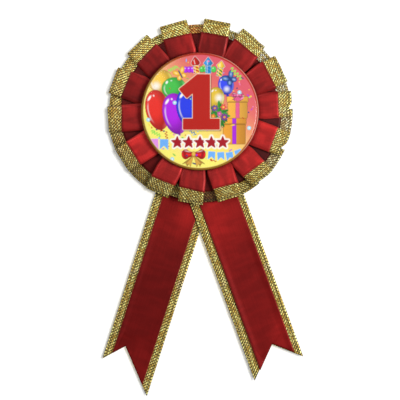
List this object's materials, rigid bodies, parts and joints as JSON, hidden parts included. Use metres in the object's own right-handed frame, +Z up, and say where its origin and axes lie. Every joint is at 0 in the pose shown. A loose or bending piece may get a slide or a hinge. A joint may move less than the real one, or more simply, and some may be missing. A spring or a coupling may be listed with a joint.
{
  "type": "award ribbon",
  "caption": "Button badge on a pleated red satin and gold ribbon rosette, with two fishtail ribbon tails and a bar pin on a felt back.",
  "frame": {"origin": "centre of the backing felt's rear face, straight behind the middle of the button", "axes": "+X to the right seen from the front, +Z up, the front faces -Y and the wearer is at +Y"},
  "size_m": [0.0945, 0.0214, 0.1774],
  "materials": {
    "film": "clear glossy film over a colourful print",
    "print": "printed colour artwork",
    "tinplate": "bright tinplate",
    "satin": "red satin ribbon",
    "lurex": "gold metallic woven ribbon",
    "thread": "spun polyester thread",
    "felt": "off-white felt",
    "card": "grey board",
    "glue": "milky hot-melt",
    "steel": "nickel-plated steel"
  },
  "bodies": {
    "rosette": {"button_film": "film", "button_artwork": "print", "button_shell": "tinplate", "button_back": "tinplate", "button_glue": "glue", "satin_pleats": "satin", "lurex_pleats": "lurex", "pleat_thread": "thread", "rosette_card": "card", "backing_felt": "felt", "tail_glue": "glue", "felt_glue": "glue", "left_tail_lurex_top": "lurex", "left_tail_satin_top": "satin", "right_tail_lurex_top": "lurex", "right_tail_satin_top": "satin", "pin_glue": "glue", "pin_base_plate": "steel", "pin_rivet": "steel", "pin_catch": "steel"},
    "left_tail": {"left_tail_lurex": "lurex", "left_tail_satin": "satin"},
    "right_tail": {"right_tail_lurex": "lurex", "right_tail_satin": "satin"},
    "needle": {"pin_needle": "steel"},
    "safety_lock": {"catch_barrel": "steel"}
  },
  "joints": [
    {"name": "left_tail_bend", "type": "hinge", "parent": "rosette", "child": "left_tail", "pos_m": [-0.01394, -0.00195, -0.05719], "axis": [-0.9521, 0, 0.3057], "range_deg": [-5, 85]},
    {"name": "right_tail_bend", "type": "hinge", "parent": "rosette", "child": "right_tail", "pos_m": [0.01333, -0.00315, -0.05664], "axis": [-0.9391, 0, -0.3437], "range_deg": [-5, 85]},
    {"name": "needle_hinge", "type": "hinge", "parent": "rosette", "child": "needle", "pos_m": [-0.0135, 0.0046, 0.012], "axis": [0, 0, 1], "range_deg": [0, 70]},
    {"name": "catch_lock_turn", "type": "hinge", "parent": "rosette", "child": "safety_lock", "pos_m": [0.0122, 0.0046, 0.012], "axis": [1, 0, 0], "range_deg": [0, 110]}
  ]
}
